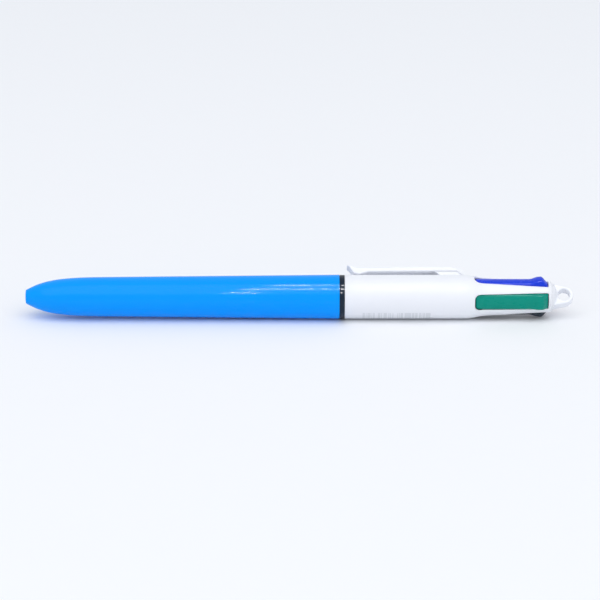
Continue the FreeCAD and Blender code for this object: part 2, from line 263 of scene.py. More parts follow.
blue_gloss = plastic("blue_gloss_barrel", srgb(0, 153, 255), 0.045, shade=0.015, marks=0.02,
                     bump=0.01, specular=0.12)
black_gloss = plastic("black_gloss_ring", srgb(18, 34, 52), 0.08, shade=0.15, marks=0.02,
                      bump=0.01, specular=0.25)
white_smooth = plastic("white_barrel_plastic", srgb(238, 240, 246), 0.42, shade=0.008, marks=0.06,
                       bump=0.04, subsurface=0.25, specular=0.22)
sleeve_white = plastic("natural_sleeve_plastic", srgb(226, 229, 232), 0.5, shade=0.03, marks=0.1,
                       bump=0.12)
slider_touch = {"marks": 0.08, "bump": 0.08}      # fine wear from the thumb, on all four
slider_finish = {
    "blue": plastic("slider_blue_plastic", srgb(20, 60, 215), 0.28, shade=0.05,
                    specular=0.2, **slider_touch),
    "green": plastic("slider_green_plastic", srgb(0, 142, 124), 0.3, shade=0.05,
                     specular=0.16, **slider_touch),
    "black": plastic("slider_black_plastic", srgb(38, 46, 58), 0.28, shade=0.1,
                     specular=0.3, **slider_touch),
    "red": plastic("slider_red_plastic", srgb(222, 22, 34), 0.28, shade=0.05,
                   specular=0.2, **slider_touch),
}
ink_finish = {
    "blue": plastic("ink_blue_paste", srgb(10, 30, 120), 0.2, shade=0.1),
    "green": plastic("ink_green_paste", srgb(0, 84, 62), 0.2, shade=0.1),
    "black": plastic("ink_black_paste", srgb(14, 14, 18), 0.2, shade=0.1),
    "red": plastic("ink_red_paste", srgb(150, 8, 14), 0.2, shade=0.1),
}
print("Plastics:", len(slider_finish) + len(ink_finish) + 4)

# %% [markdown]
# Metal parts are turned or drawn, which leaves fine rings or lines round them. A Wave
# texture across the length of the part gives that grain, and a noise breaks it up. The
# refill tube is a milky, see-through polypropylene, so it mixes a little light through.

# %% Metals and the refill tube
def metal(name, colour, roughness, rings=9000.0):
    """A metal with a grain of rings along the part, and a tint that a noise breaks up."""
    material = bpy.data.materials.new(name)
    material.use_nodes = True
    nodes = material.node_tree.nodes
    shader = nodes["Principled BSDF"]
    shader.inputs["Metallic"].default_value = 1.0
    where = nodes.new("ShaderNodeTexCoord")
    wave = nodes.new("ShaderNodeTexWave")
    wave.bands_direction = "X"
    wave.inputs["Scale"].default_value = rings
    wave.inputs["Distortion"].default_value = 1.5
    noise = nodes.new("ShaderNodeTexNoise")
    noise.inputs["Scale"].default_value = 1500.0
    tint = nodes.new("ShaderNodeMix")
    tint.data_type = "RGBA"
    tint.inputs["A"].default_value = [c * 0.82 for c in colour[:3]] + [1.0]
    tint.inputs["B"].default_value = colour
    rough = nodes.new("ShaderNodeMapRange")
    rough.inputs["To Min"].default_value = roughness * 0.7
    rough.inputs["To Max"].default_value = roughness * 1.3
    relief = nodes.new("ShaderNodeBump")
    relief.inputs["Strength"].default_value = 0.15
    relief.inputs["Distance"].default_value = 0.00001
    link(material, where.outputs["Object"], wave.inputs["Vector"])
    link(material, where.outputs["Object"], noise.inputs["Vector"])
    link(material, noise.outputs["Fac"], tint.inputs["Factor"])
    link(material, tint.outputs["Result"], shader.inputs["Base Color"])
    link(material, wave.outputs["Fac"], rough.inputs["Value"])
    link(material, rough.outputs["Result"], shader.inputs["Roughness"])
    link(material, wave.outputs["Fac"], relief.inputs["Height"])
    link(material, relief.outputs["Normal"], shader.inputs["Normal"])
    return material


brass = metal("turned_brass", (0.78, 0.57, 0.24, 1.0), 0.22)
spring_steel = metal("drawn_spring_wire", (0.62, 0.62, 0.64, 1.0), 0.25, rings=2500.0)
carbide = metal("polished_carbide", (0.42, 0.43, 0.45, 1.0), 0.12, rings=20000.0)
tube_plastic = plastic("milky_tube_plastic", srgb(232, 236, 238), 0.28, shade=0.02, marks=0.05)
tube_shader = tube_plastic.node_tree.nodes["Principled BSDF"]
tube_shader.inputs["Transmission Weight"].default_value = 0.55
tube_shader.inputs["IOR"].default_value = 1.49
print("Metals:", [m.name for m in (brass, spring_steel, carbide)], "and", tube_plastic.name)

# %% [markdown]
# ## The lower barrel
#
# The lower barrel is one blue moulding: an ogive nose with a small flat end and the hole
# for the writing points, then a long tube that widens very slightly towards the joint. A
# turned outline suits it exactly. The nose is two curves that share a tangent, because a
# kink would show at once in so glossy a surface.

# %% Lower barrel shell
NOSE_HOLE_R = 1.3
BARREL_BORE_R = 4.46
FEMALE_ROOT_R = 5.12
NOSE_JOIN, NOSE_JOIN_SLOPE = (9.35, 4.79), 0.12      # where the nose's two curves meet

nose_curve = hermite((0.3, 2.0), NOSE_JOIN, 0.57, NOSE_JOIN_SLOPE, 18)[:-1]
nose_curve += hermite(NOSE_JOIN, (20.0, 5.34), NOSE_JOIN_SLOPE, 0.012, 14)
barrel_outline = [(0.0, NOSE_HOLE_R, 0.12), (0.0, 1.86, 0.16)] + nose_curve + [
    (50.0, 5.64), (X_RING, LOWER_R, 0.14), (X_RING, FEMALE_ROOT_R, 0.12),
    (78.0, FEMALE_ROOT_R, 0.1), (77.8, BARREL_BORE_R, 0.1), (20.0, BARREL_BORE_R), (9.4, 3.98),
    (5.5, 3.3), (2.9, 2.5), (0.85, NOSE_HOLE_R),
]
lower_shell = turned("lower_barrel_shell", rounded(barrel_outline, 0.0), 144)
lower_shell.data.materials.append(blue_gloss)
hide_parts("lower_barrel")
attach(lower_shell, "lower_barrel")
print("Lower barrel:", len(lower_shell.data.polygons), "faces")

# %% [markdown]
# ## The screw thread
#
# Both barrels carry a trapezoidal thread: a ridge that winds round a core. What follows a
# path is work for Geometry Nodes: a Spiral curve is the path, a small quadrilateral is
# swept along it, and the same tree, given a round section instead, winds the springs. The
# tree ends in Realize Instances and Set Material, and its result is made a plain mesh.

# %% What both node trees share: their sockets, their sums and their last nodes
def new_tree(name, sockets):
    """An empty tree with one geometry output and the named inputs."""
    tree = bpy.data.node_groups.new(name, "GeometryNodeTree")
    face = tree.interface
    face.new_socket("Geometry", in_out="OUTPUT", socket_type="NodeSocketGeometry")
    for title, kind, value in sockets:
        socket = face.new_socket(title, in_out="INPUT", socket_type="NodeSocket" + kind)
        if value is not None:
            socket.default_value = value
    return tree, tree.nodes.new("NodeGroupInput")


def maths(tree, operation, a, b=None):
    """A Math node's output. Each operand is a number or another node's output."""
    node = tree.nodes.new("ShaderNodeMath")
    node.operation = operation
    for k, value in enumerate((a, b)):
        if isinstance(value, (int, float)):
            node.inputs[k].default_value = value
        elif value is not None:
            tree.links.new(value, node.inputs[k])
    return node.outputs[0]


def close_tree(tree, geometry, material):
    """Ends a tree in Realize Instances and Set Material."""
    realize = tree.nodes.new("GeometryNodeRealizeInstances")
    finish = tree.nodes.new("GeometryNodeSetMaterial")
    output = tree.nodes.new("NodeGroupOutput")
    tree.links.new(geometry, realize.inputs[0])
    tree.links.new(realize.outputs[0], finish.inputs["Geometry"])
    tree.links.new(material, finish.inputs["Material"])
    tree.links.new(finish.outputs[0], output.inputs[0])


print("Tree helpers ready")

# %% [markdown]
# The winding tree first bends the spiral's height, so that a spring's end coils can lie
# closed, and then sweeps the section along it.

# %% A winding tree: a section swept along a helix
def winding_tree():
    tree, inputs = new_tree("winding", [
        ("Turns", "Float", 5.0), ("Radius", "Float", 0.001), ("Length", "Float", 0.01),
        ("Steps", "Int", 48), ("Closed Coils", "Float", 0.0), ("Section Width", "Float", 0.001),
        ("Section Top", "Float", 0.0005), ("Section Height", "Float", 0.0004),
        ("Wire", "Float", 0.0), ("Finish", "Material", None),
    ])
    n, links = tree.nodes, tree.links
    spiral = n.new("GeometryNodeCurveSpiral")
    spiral.inputs["Reverse"].default_value = True     # a right-handed helix
    links.new(inputs.outputs["Steps"], spiral.inputs["Resolution"])
    links.new(inputs.outputs["Turns"], spiral.inputs["Rotations"])
    links.new(inputs.outputs["Radius"], spiral.inputs["Start Radius"])
    links.new(inputs.outputs["Radius"], spiral.inputs["End Radius"])
    links.new(inputs.outputs["Length"], spiral.inputs["Height"])
    # with t from 0 to 1 along the helix and k for Closed Coils:
    # height = length * (t - k * sin(2 pi t) / (2 pi)), nearly flat at both ends where k nears 1
    position = n.new("GeometryNodeInputPosition")
    split = n.new("ShaderNodeSeparateXYZ")
    merge = n.new("ShaderNodeCombineXYZ")
    set_place = n.new("GeometryNodeSetPosition")
    links.new(position.outputs[0], split.inputs[0])
    share = maths(tree, "DIVIDE", split.outputs["Z"], inputs.outputs["Length"])
    wave = maths(tree, "SINE", maths(tree, "MULTIPLY", share, 2 * math.pi))
    scaled = maths(tree, "MULTIPLY", wave, inputs.outputs["Closed Coils"])
    ease = maths(tree, "MULTIPLY", scaled, -1 / (2 * math.pi))
    height = maths(tree, "MULTIPLY", maths(tree, "ADD", share, ease), inputs.outputs["Length"])
    links.new(split.outputs["X"], merge.inputs["X"])
    links.new(split.outputs["Y"], merge.inputs["Y"])
    links.new(height, merge.inputs["Z"])
    links.new(spiral.outputs["Curve"], set_place.inputs["Geometry"])
    links.new(merge.outputs[0], set_place.inputs["Position"])
    upright = n.new("GeometryNodeSetCurveNormal")
    upright.mode = "Z_UP"
    links.new(set_place.outputs[0], upright.inputs["Curve"])
    ridge = n.new("GeometryNodeCurvePrimitiveQuadrilateral")
    ridge.mode = "TRAPEZOID"
    ridge.inputs["Offset"].default_value = 0.0
    links.new(inputs.outputs["Section Width"], ridge.inputs["Bottom Width"])
    links.new(inputs.outputs["Section Top"], ridge.inputs["Top Width"])
    links.new(inputs.outputs["Section Height"], ridge.inputs["Height"])
    # the quadrilateral's height should stand away from the axis, not along it
    stand = n.new("GeometryNodeTransform")
    stand.inputs["Rotation"].default_value = (0.0, 0.0, -math.pi / 2)
    links.new(ridge.outputs[0], stand.inputs["Geometry"])
    circle = n.new("GeometryNodeCurvePrimitiveCircle")
    circle.inputs["Resolution"].default_value = 10
    links.new(inputs.outputs["Wire"], circle.inputs["Radius"])
    is_wire = n.new("FunctionNodeCompare")
    is_wire.data_type = "FLOAT"
    is_wire.operation = "GREATER_THAN"
    links.new(inputs.outputs["Wire"], is_wire.inputs[0])
    choose = n.new("GeometryNodeSwitch")
    choose.input_type = "GEOMETRY"
    links.new(is_wire.outputs[0], choose.inputs["Switch"])
    links.new(stand.outputs[0], choose.inputs["False"])
    links.new(circle.outputs["Curve"], choose.inputs["True"])
    sweep = n.new("GeometryNodeCurveToMesh")
    sweep.inputs["Fill Caps"].default_value = True
    links.new(upright.outputs[0], sweep.inputs["Curve"])
    links.new(choose.outputs[0], sweep.inputs["Profile Curve"])
    close_tree(tree, sweep.outputs[0], inputs.outputs["Finish"])
    return tree


def run_tree(name, tree, values):
    """The tree's result on an empty object, as a plain mesh with no modifier left."""
    seed = new_piece(name + "_seed", bpy.data.meshes.new(name + "_seed"))
    modifier = seed.modifiers.new("build", "NODES")
    modifier.node_group = tree
    for item in tree.interface.items_tree:
        if item.item_type == "SOCKET" and item.in_out == "INPUT" and item.name in values:
            modifier[item.identifier] = values[item.name]
    graph = bpy.context.evaluated_depsgraph_get()
    mesh = bpy.data.meshes.new_from_object(seed.evaluated_get(graph))
    mesh.name = name
    bpy.data.objects.remove(seed)
    return new_piece(name, mesh)


def along_pen(piece, x, offset=0.0, turn=0.0, spin=0.0):
    """Turns a mesh made along +Z to lie along the pen, starting x from the nose."""
    lay_down = Matrix.Rotation(math.radians(90), 4, "Y")
    roll = Matrix.Rotation(math.radians(turn + spin), 4, "X")
    piece.data.transform(Matrix.Translation(place(x, 0, offset, turn)) @ roll @ lay_down)
    piece.data.shade_smooth()
    piece.data.set_sharp_from_angle(angle=math.radians(40))
    return piece


WINDING = winding_tree()
PITCH = 1.2
THREAD_START = 78.9


def thread(name, x, turns, radius, inner_width, outer_width, finish):
    """One thread: a trapezoid that is as wide as said at its inner and its outer edge."""
    ridge = run_tree(name, WINDING, {
        "Steps": 64, "Turns": turns, "Radius": radius * MM, "Length": turns * PITCH * MM,
        "Section Height": 0.56 * MM, "Section Width": inner_width * MM,
        "Section Top": outer_width * MM, "Finish": finish})
    return along_pen(ridge, x)


# the male thread lies in the female one's groove, half a pitch further on
female_thread = thread("female_thread", THREAD_START, 4.5, 4.96, 0.38, 0.78, blue_gloss)
male_thread = thread("male_thread", THREAD_START + PITCH / 2, 3.7, 4.72, 0.72, 0.28, sleeve_white)
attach(female_thread, "lower_barrel")
print("Male thread:", [round(v / MM, 2) for v in male_thread.dimensions], "mm")

# %% [markdown]
# ## The joint: trim ring, threaded sleeve and guide plate
#
# A glossy black ring closes the joint. It is a plain turned band, so all of its look is in
# its rounded edges and its polish. Behind it the sleeve is pressed into the upper barrel,
# and the guide plate behind that steers the four refills. The plate's shape is already
# right in CAD, so it only gets a finish.

# %% Joint pieces
RING_R, RING_BORE_R, RING_GAP = 5.92, 5.05, 0.02
ring_front, ring_back = X_RING + RING_GAP, X_UPPER - RING_GAP
ring = turned("joint_ring_band", rounded([
    (ring_front, RING_BORE_R), (ring_front, RING_R), (ring_back, RING_R), (ring_back, RING_BORE_R),
], 0.16), 144)
ring.data.materials.append(black_gloss)
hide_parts("joint_ring")
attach(ring, "joint_ring")

SLEEVE_BORE_R, PILOT_R, RELIEF_R, MALE_CORE_R, PRESS_R = 3.85, 4.4, 4.3, 4.55, 4.92
X_SLEEVE_END = X_GUIDE_BACK - 2
sleeve = turned("threaded_sleeve_body", rounded([
    (X_SLEEVE, SLEEVE_BORE_R), (X_SLEEVE, PILOT_R), (77.5, PILOT_R), (77.6, RELIEF_R),
    (78.2, RELIEF_R), (78.4, MALE_CORE_R), (X_UPPER, MALE_CORE_R), (X_UPPER, PRESS_R),
    (X_SLEEVE_END, PRESS_R), (X_SLEEVE_END, SLEEVE_BORE_R),
], 0.12), 112)
sleeve.data.materials.append(sleeve_white)
for piece in (sleeve, male_thread):
    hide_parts("threaded_sleeve")
    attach(piece, "root")
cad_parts["guide_plate"].data.materials.clear()
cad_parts["guide_plate"].data.materials.append(sleeve_white)
print("Joint pieces made")

# %% [markdown]
# ## The upper barrel
#
# The white barrel is straight, then necks down over a soft shoulder and tapers to its end.
# Four slots run through the tapered part. Cutting them with a boolean would leave ragged
# shading on the curved wall, so the wall is built round them: in each quarter, loops of
# points spread from the slot's rounded outline to the quarter's border, all of them lying
# on the barrel's own surface. The same outline, stepped inwards, rounds the slot's rim.

# %% Upper barrel shell
SLOT_FRONT, SLOT_REAR, SLOT_HALF = 121.1, 141.0, 2.2
X_SHOULDER_FRONT, X_SHOULDER_REAR, SHOULDER_R, SHOULDER_SLOPE = 118.5, 124.0, 5.17, 0.052
UPPER_BORE_R, SLOT_BORE_R = 4.93, 3.6
X_WALL_FRONT, X_WALL_REAR = 119.4, 141.8
END_R, END_X, END_REACH = 4.32, 140.2, 3.32
RIM = 0.24
ACROSS_STEPS, ALONG_STEPS, SPREAD_STEPS = 18, 44, 8


def outer_r(x):
    """The white body's outside: cylinder, shoulder, taper and domed end."""
    if x <= X_SHOULDER_FRONT:
        return UPPER_R
    if x <= X_SHOULDER_REAR:
        span = X_SHOULDER_REAR - X_SHOULDER_FRONT
        t = (x - X_SHOULDER_FRONT) / span
        return (UPPER_R * (1 + 2 * t) * (1 - t) ** 2 + SHOULDER_R * t * t * (3 - 2 * t)
                + span * SHOULDER_SLOPE * t * t * (1 - t))
    if x <= END_X:
        along = (x - X_SHOULDER_REAR) / (END_X - X_SHOULDER_REAR)
        return SHOULDER_R + (END_R - SHOULDER_R) * along
    return END_R * math.sqrt(max(0.0, 1 - ((x - END_X) / END_REACH) ** 2.6))


def inner_r(x):
    """The white body's inside: the bore narrows where the slots begin."""
    t = min(1.0, max(0.0, (x - 122.7) / 1.4))
    return UPPER_BORE_R - (UPPER_BORE_R - SLOT_BORE_R) * t * t * (3 - 2 * t)


def even_points(path, steps):
    """Points evenly spaced along a polyline."""
    lengths = [0.0]
    for a, b in zip(path, path[1:]):
        lengths.append(lengths[-1] + math.dist(a, b))
    result, k = [], 0
    for s in range(steps + 1):
        want = lengths[-1] * s / steps
        while k < len(path) - 2 and lengths[k + 1] < want:
            k += 1
        t = (want - lengths[k]) / (lengths[k + 1] - lengths[k])
        result.append((path[k][0] + (path[k + 1][0] - path[k][0]) * t,
                       path[k][1] + (path[k + 1][1] - path[k][1]) * t))
    return result


def slot_outline(grow):
    """The slot seen from above, grown outwards, as (x, across) points in order round it."""
    half, front, rear = SLOT_HALF + grow, SLOT_FRONT - grow, SLOT_REAR + grow
    big, small = 1.3 + grow, 0.3 + grow

    def corner(cx, cy, r, start):
        angles = [math.radians(start + 90 * k / 8) for k in range(9)]
        return [(cx + r * math.cos(a), cy + r * math.sin(a)) for a in angles]

    front_path = corner(front + big, half - big, big, 90) + corner(front + big, big - half, big, 180)
    rear_path = (corner(rear - small, small - half, small, -90)
                 + corner(rear - small, half - small, small, 0))
    right = [(front + big, -half), (rear - small, -half)]
    left = [(rear - small, half), (front + big, half)]
    points = []
    for path, steps in ((front_path, ACROSS_STEPS), (right, ALONG_STEPS),
                        (rear_path, ACROSS_STEPS), (left, ALONG_STEPS)):
        points += even_points(path, steps)[:-1]
    return points


def quarter_border():
    """The quarter's border as (x, degrees from the slot's centre), in step with the outline."""
    corners = [(X_WALL_FRONT, 45.0), (X_WALL_FRONT, -45.0), (X_WALL_REAR, -45.0),
               (X_WALL_REAR, 45.0), (X_WALL_FRONT, 45.0)]
    points = []
    for k, steps in enumerate((ACROSS_STEPS, ALONG_STEPS, ACROSS_STEPS, ALONG_STEPS)):
        for s in range(steps):
            t = s / steps
            a, b = corners[k], corners[k + 1]
            points.append((a[0] + (b[0] - a[0]) * t, a[1] + (b[1] - a[1]) * t))
    return points


def quarter_rings(turn):
    """Loops from the border over the outside, round the slot's rim and back along the inside."""
    border = quarter_border()

    def spread(outline, radius, t):
        ring = []
        for (x0, a0), (x1, y1) in zip(border, outline):
            a1 = math.degrees(math.asin(y1 / radius(x1)))
            x, a = x0 + (x1 - x0) * t, math.radians(a0 + (a1 - a0) * t)
            ring.append(place(x, radius(x) * math.sin(a), radius(x) * math.cos(a), turn))
        return ring

    rings = [spread(slot_outline(RIM), outer_r, 1 - (1 - k / SPREAD_STEPS) ** 1.4)
             for k in range(SPREAD_STEPS)]
    for k in range(6):
        psi = math.radians(18 * k)
        outline, depth = slot_outline(RIM * (1 - math.sin(psi))), RIM * (1 - math.cos(psi))
        rings.append([place(x, y, math.sqrt(outer_r(x) ** 2 - y * y) - depth, turn)
                      for x, y in outline])
    outline = slot_outline(0.0)
    for k in (1, 2, 3):
        wall = []
        for x, y in outline:
            outside, inside = (math.sqrt(r(x) ** 2 - y * y) for r in (outer_r, inner_r))
            wall.append(place(x, y, (1 - k / 3) * (outside - RIM) + k / 3 * inside, turn))
        rings.append(wall)
    rings += [spread(outline, inner_r, 1 - k / 4) for k in range(1, 5)]
    return rings


def full_ring(x, r):
    """A ring round the pen whose points meet the quarters' borders."""
    ring = []
    for turn in TURNS.values():
        for s in range(ACROSS_STEPS):
            a = math.radians(45 - 90 * s / ACROSS_STEPS)
            ring.append(place(x, r * math.sin(a), r * math.cos(a), turn))
    return ring


work = bmesh.new()
for turn in TURNS.values():
    join_rings(work, quarter_rings(turn))
front_profile = [(X_WALL_FRONT, inner_r(X_WALL_FRONT)), (X_UPPER, UPPER_BORE_R),
                 (X_UPPER, UPPER_R - 0.1), (X_UPPER + 0.04, UPPER_R - 0.03),
                 (X_UPPER + 0.12, UPPER_R)]
front_profile += [(X_UPPER + 0.12 + (X_SHOULDER_FRONT - X_UPPER - 0.12) * k / 12, UPPER_R)
                  for k in range(1, 13)]
for k in range(1, 4):
    x = X_SHOULDER_FRONT + (X_WALL_FRONT - X_SHOULDER_FRONT) * k / 3
    front_profile.append((x, outer_r(x)))
join_rings(work, [full_ring(x, r) for x, r in front_profile])
rear_profile = [(X_WALL_REAR, outer_r(X_WALL_REAR)), (X_UPPER_END, outer_r(X_UPPER_END)),
                (X_UPPER_END, 3.3), (X_WALL_REAR, inner_r(X_WALL_REAR))]
join_rings(work, [full_ring(x, r) for x, r in rear_profile])
upper_shell = finish_mesh("upper_barrel_shell", work, 50)
upper_shell.data.materials.append(white_smooth)
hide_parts("upper_barrel")
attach(upper_shell, "root")
print("Upper barrel:", len(upper_shell.data.polygons), "faces")

# %% [markdown]
# ## The clip
#
# On the real pen the clip is moulded in one with the barrel: a plate on a narrower web
# rises from the barrel, runs forward as a thin strap, dips to a bump that grips the
# pocket, and flares up at its tip. It is a row of rounded cross-sections.

# %% Clip strap, root and web
def smoothstep(t):
    t = min(1.0, max(0.0, t))
    return t * t * (3 - 2 * t)


def through(x, points):
    """A value at x on straight runs between points, eased at each one."""
    for (x0, v0), (x1, v1) in zip(points, points[1:]):
        if x <= x1:
            return v0 + (v1 - v0) * smoothstep((x - x0) / (x1 - x0))
    return points[-1][1]


def section_ring(x, half, low, high, edge, turn, steps=5):
    """A rectangle with rounded corners, across the pen."""
    edge = max(0.01, min(edge, 0.49 * (high - low), 0.9 * half))
    ring = []
    for cx, cz, start in ((half - edge, high - edge, 0), (edge - half, high - edge, 90),
                          (edge - half, low + edge, 180), (half - edge, low + edge, 270)):
        for k in range(steps + 1):
            a = math.radians(start + 90 * k / steps)
            ring.append(place(x, cx + edge * math.cos(a), cz + edge * math.sin(a), turn))
    return ring


def loft(work, rings):
    """Closed solid from a row of rings, with its two ends filled."""
    rows = join_rings(work, rings)
    work.faces.new(list(reversed(rows[0])))
    work.faces.new(rows[-1])


TIP_X, BUMP_X, CLIP_PLATE_R, CLIP_TOP_R = 86.8, 89.9, 6.7, 8.05
clip_under = [(TIP_X, 8.5), (88.9, 6.3), (BUMP_X, 6.0), (91.2, 6.28), (92.6, CLIP_PLATE_R),
              (116.3, CLIP_PLATE_R), (118.1, 5.5)]
clip_top = [(TIP_X, 8.85), (90.0, CLIP_TOP_R), (115.0, CLIP_TOP_R), (119.7, 5.15)]
clip_half = [(TIP_X, 1.72), (112.0, 2.1), (119.5, 2.1)]
stations = [TIP_X + 0.02 + 0.3 * k for k in range(22)] + [94.0 + 2.0 * k for k in range(10)]
stations += [113.0 + 0.34 * k for k in range(19)]
rings = []
for k, x in enumerate(stations):
    nose_in = math.sqrt(max(0.0, 1 - (1 - (x - TIP_X) / 0.9) ** 2)) if x < TIP_X + 0.9 else 1.0
    half = through(x, clip_half) * (0.62 + 0.38 * nose_in)
    low, high = through(x, clip_under), through(x, clip_top)
    rings.append(section_ring(x, half, low, max(high, low + 0.12), 0.34, CLIP_TURN))
work = bmesh.new()
loft(work, rings)
X_WEB = 109.6
web_rings = []
for k in range(16):
    x = X_WEB + 8.2 * (k / 15) ** 1.6
    sink = min(1.0, (x - X_WEB) / 2.2)
    low = 6.75 - 1.4 * (1 - math.sqrt(max(0.0, 1 - sink * sink)))
    web_rings.append(section_ring(x, 1.75, low, 7.2, 0.1, CLIP_TURN))
loft(work, web_rings)
clip = finish_mesh("pocket_clip_strap", work, 45)
clip.data.materials.append(white_smooth)
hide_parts("pocket_clip")
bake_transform(clip)
print("Clip:", [round(v / MM, 1) for v in clip.dimensions], "mm")

# %% [markdown]
# ## The end plug and its lanyard loop
#
# A loop moulded on a dome has a soft fillet all round its foot, which is hard to model
# edge by edge. So the dome and the loop are made as two plain closed shapes, and a voxel
# remesh melts them into one skin, which a few rounds of smoothing turn into a moulding.
# The skin near the barrel is then set back on the barrel's own curve, so the seam vanishes.

# %% End plug
LOOP_X, LOOP_R, HOLE_R, LOOP_HALF, LOOP_EDGE = 145.3, 2.6, 1.6, 1.5, 0.42
NECK_FROM, NECK_TO, FOOT_DEPTH = 78.0, 132.3, 3.0     # the loop's foot, in degrees and mm
X_PLUG, SEAM = 141.2, 0.35


def loop_reach(a):
    """Distance from the hole's centre to the loop's edge, at an angle from straight back."""
    a = abs((a + 180) % 360 - 180)
    if a <= NECK_FROM:
        return LOOP_R
    if a <= NECK_TO:
        return LOOP_R / math.cos(math.radians(a - NECK_FROM))
    return FOOT_DEPTH / abs(math.cos(math.radians(a)))


def loop_ring(a):
    """The loop's section at one angle round the hole, its four edges rounded."""
    inner, outer, e = HOLE_R, loop_reach(a), LOOP_EDGE
    points = []
    for cr, ct, start in ((outer - e, LOOP_HALF - e, 0), (inner + e, LOOP_HALF - e, 90),
                          (inner + e, e - LOOP_HALF, 180), (outer - e, e - LOOP_HALF, 270)):
        for k in range(6):
            b = math.radians(start + 18 * k)
            r, t = cr + e * math.cos(b), ct + e * math.sin(b)
            c = math.radians(a)
            points.append(place(LOOP_X + r * math.cos(c), t, r * math.sin(c), CLIP_TURN))
    return points


def round_ring(x, r, count, offset=0.0, turn=0.0):
    """A circle round the pen's axis or a refill's, never quite shrunk to a point."""
    r = max(r, 0.001)
    angles = [2 * math.pi * k / count for k in range(count)]
    return [place(x, r * math.cos(a), offset + r * math.sin(a), turn) for a in angles]


work = bmesh.new()
join_rings(work, [loop_ring(360 * k / 96) for k in range(96)], closed_rows=True)
dome = [(X_PLUG, 0.0), (X_PLUG, outer_r(X_PLUG) - 0.35), (X_UPPER_END, outer_r(X_UPPER_END))]
for k in range(1, 14):
    x = X_UPPER_END + 1.4 * (k / 14) ** 0.6
    dome.append((x, outer_r(x)))
dome.append((143.51, 0.0))
loft(work, [round_ring(x, r, 96) for x, r in dome])
bmesh.ops.recalc_face_normals(work, faces=work.faces)
raw = bpy.data.meshes.new("end_plug_raw")
work.to_mesh(raw)
work.free()
raw_piece = new_piece("end_plug_raw", raw)
melt = raw_piece.modifiers.new("melt", "REMESH")
melt.mode = "VOXEL"
melt.voxel_size = 0.085 * MM
melt.use_smooth_shade = True
soften = raw_piece.modifiers.new("soften", "SMOOTH")
soften.factor = 0.5
soften.iterations = 10
graph = bpy.context.evaluated_depsgraph_get()
plug_mesh = bpy.data.meshes.new_from_object(raw_piece.evaluated_get(graph))
bpy.data.objects.remove(raw_piece)
plug_mesh.name = "end_plug_loop"
for vertex in plug_mesh.vertices:
    offset = (vertex.co - NOSE) / MM
    r = math.hypot(offset.y, offset.z)
    if X_UPPER_END - 0.02 <= offset.x < X_UPPER_END + SEAM and r > 3.0:
        keep = smoothstep((offset.x - X_UPPER_END) / SEAM)
        wanted = outer_r(offset.x) * (1 - keep) + r * keep
        vertex.co = NOSE + Vector((offset.x, offset.y * wanted / r, offset.z * wanted / r)) * MM
end_plug = new_piece("end_plug_loop", plug_mesh)
end_plug.data.shade_smooth()
end_plug.data.materials.append(white_smooth)
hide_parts("end_plug")
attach(end_plug, "root")
print("End plug:", len(end_plug.data.polygons), "faces")

# %% [markdown]
# ## Thumb sliders
#
# Each slider is a flat-sided block that follows the slot: a crown concentric with the
# barrel, a bump for the thumb near its rear, and a steep face behind that. It is another
# row of cross-sections. A narrow shaft below it carries the collar that pushes the refill.

# %% Sliders
X_HEAD, X_HEAD_END, HEAD_HALF, HEAD_FLOOR, CROWN_R = 121.25, 140.78, 2.08, 2.75, 4.8
FRONT_ROUND = 1.1
PEAK_X, PEAK_R, REAR_R = 139.45, 5.38, 3.95
X_COLLAR_FRONT, X_COLLAR_REAR, X_PIN = 113.0, 115.0, 110.5
head_top = [(X_HEAD, 4.5), (X_HEAD + 0.35, CROWN_R), (135.8, CROWN_R), (138.6, 5.44),
            (139.1, 5.48), (PEAK_X, PEAK_R)]


def head_top_r(x):
    """Height of the slider's back: level, up the thumb bump, then down its steep rear face."""
    if x <= PEAK_X:
        return through(x, head_top)
    return PEAK_R + (REAR_R - PEAK_R) * (x - PEAK_X) / (X_HEAD_END - PEAK_X)


def head_ring(x, turn):
    """The slider's section: flat floor and sides, rounded top edges, a crown round the pen's axis."""
    front = max(0.0, FRONT_ROUND - (x - X_HEAD))
    half = HEAD_HALF - 0.9 * (FRONT_ROUND - math.sqrt(max(0.0, FRONT_ROUND ** 2 - front ** 2)))
    top, edge = head_top_r(x), 0.34
    flat = half - edge
    crown = [(y, math.sqrt(top * top - y * y)) for y in [flat * (4 - k) / 4 for k in range(9)]]
    shoulder, side = (half, math.sqrt(top * top - half * half)), []
    for s in range(1, 6):
        t = s / 5
        a, b = crown[-1], (-half, shoulder[1] - edge)
        side.append((a[0] * (1 - t) ** 2 - shoulder[0] * 2 * t * (1 - t) + b[0] * t * t,
                     a[1] * (1 - t) ** 2 + shoulder[1] * 2 * t * (1 - t) + b[1] * t * t))
    left = side + [(-half, HEAD_FLOOR + 0.15), (0.15 - half, HEAD_FLOOR)]
    outline = crown + left + [(-y, z) for y, z in reversed(left)]
    return [place(x, y, z, turn) for y, z in outline]


def slider_stations():
    """Where the sections stand: close together on the rounded front and on the thumb bump."""
    front = [X_HEAD + FRONT_ROUND * (1 - math.cos(math.radians(15 * k))) for k in range(7)]
    level = [122.9 + 1.6 * k for k in range(8)]
    bump = [135.6 + 0.19 * k for k in range(20)]
    return front + level + bump + [139.5, 139.8, 140.2, 140.6, 140.7, X_HEAD_END]


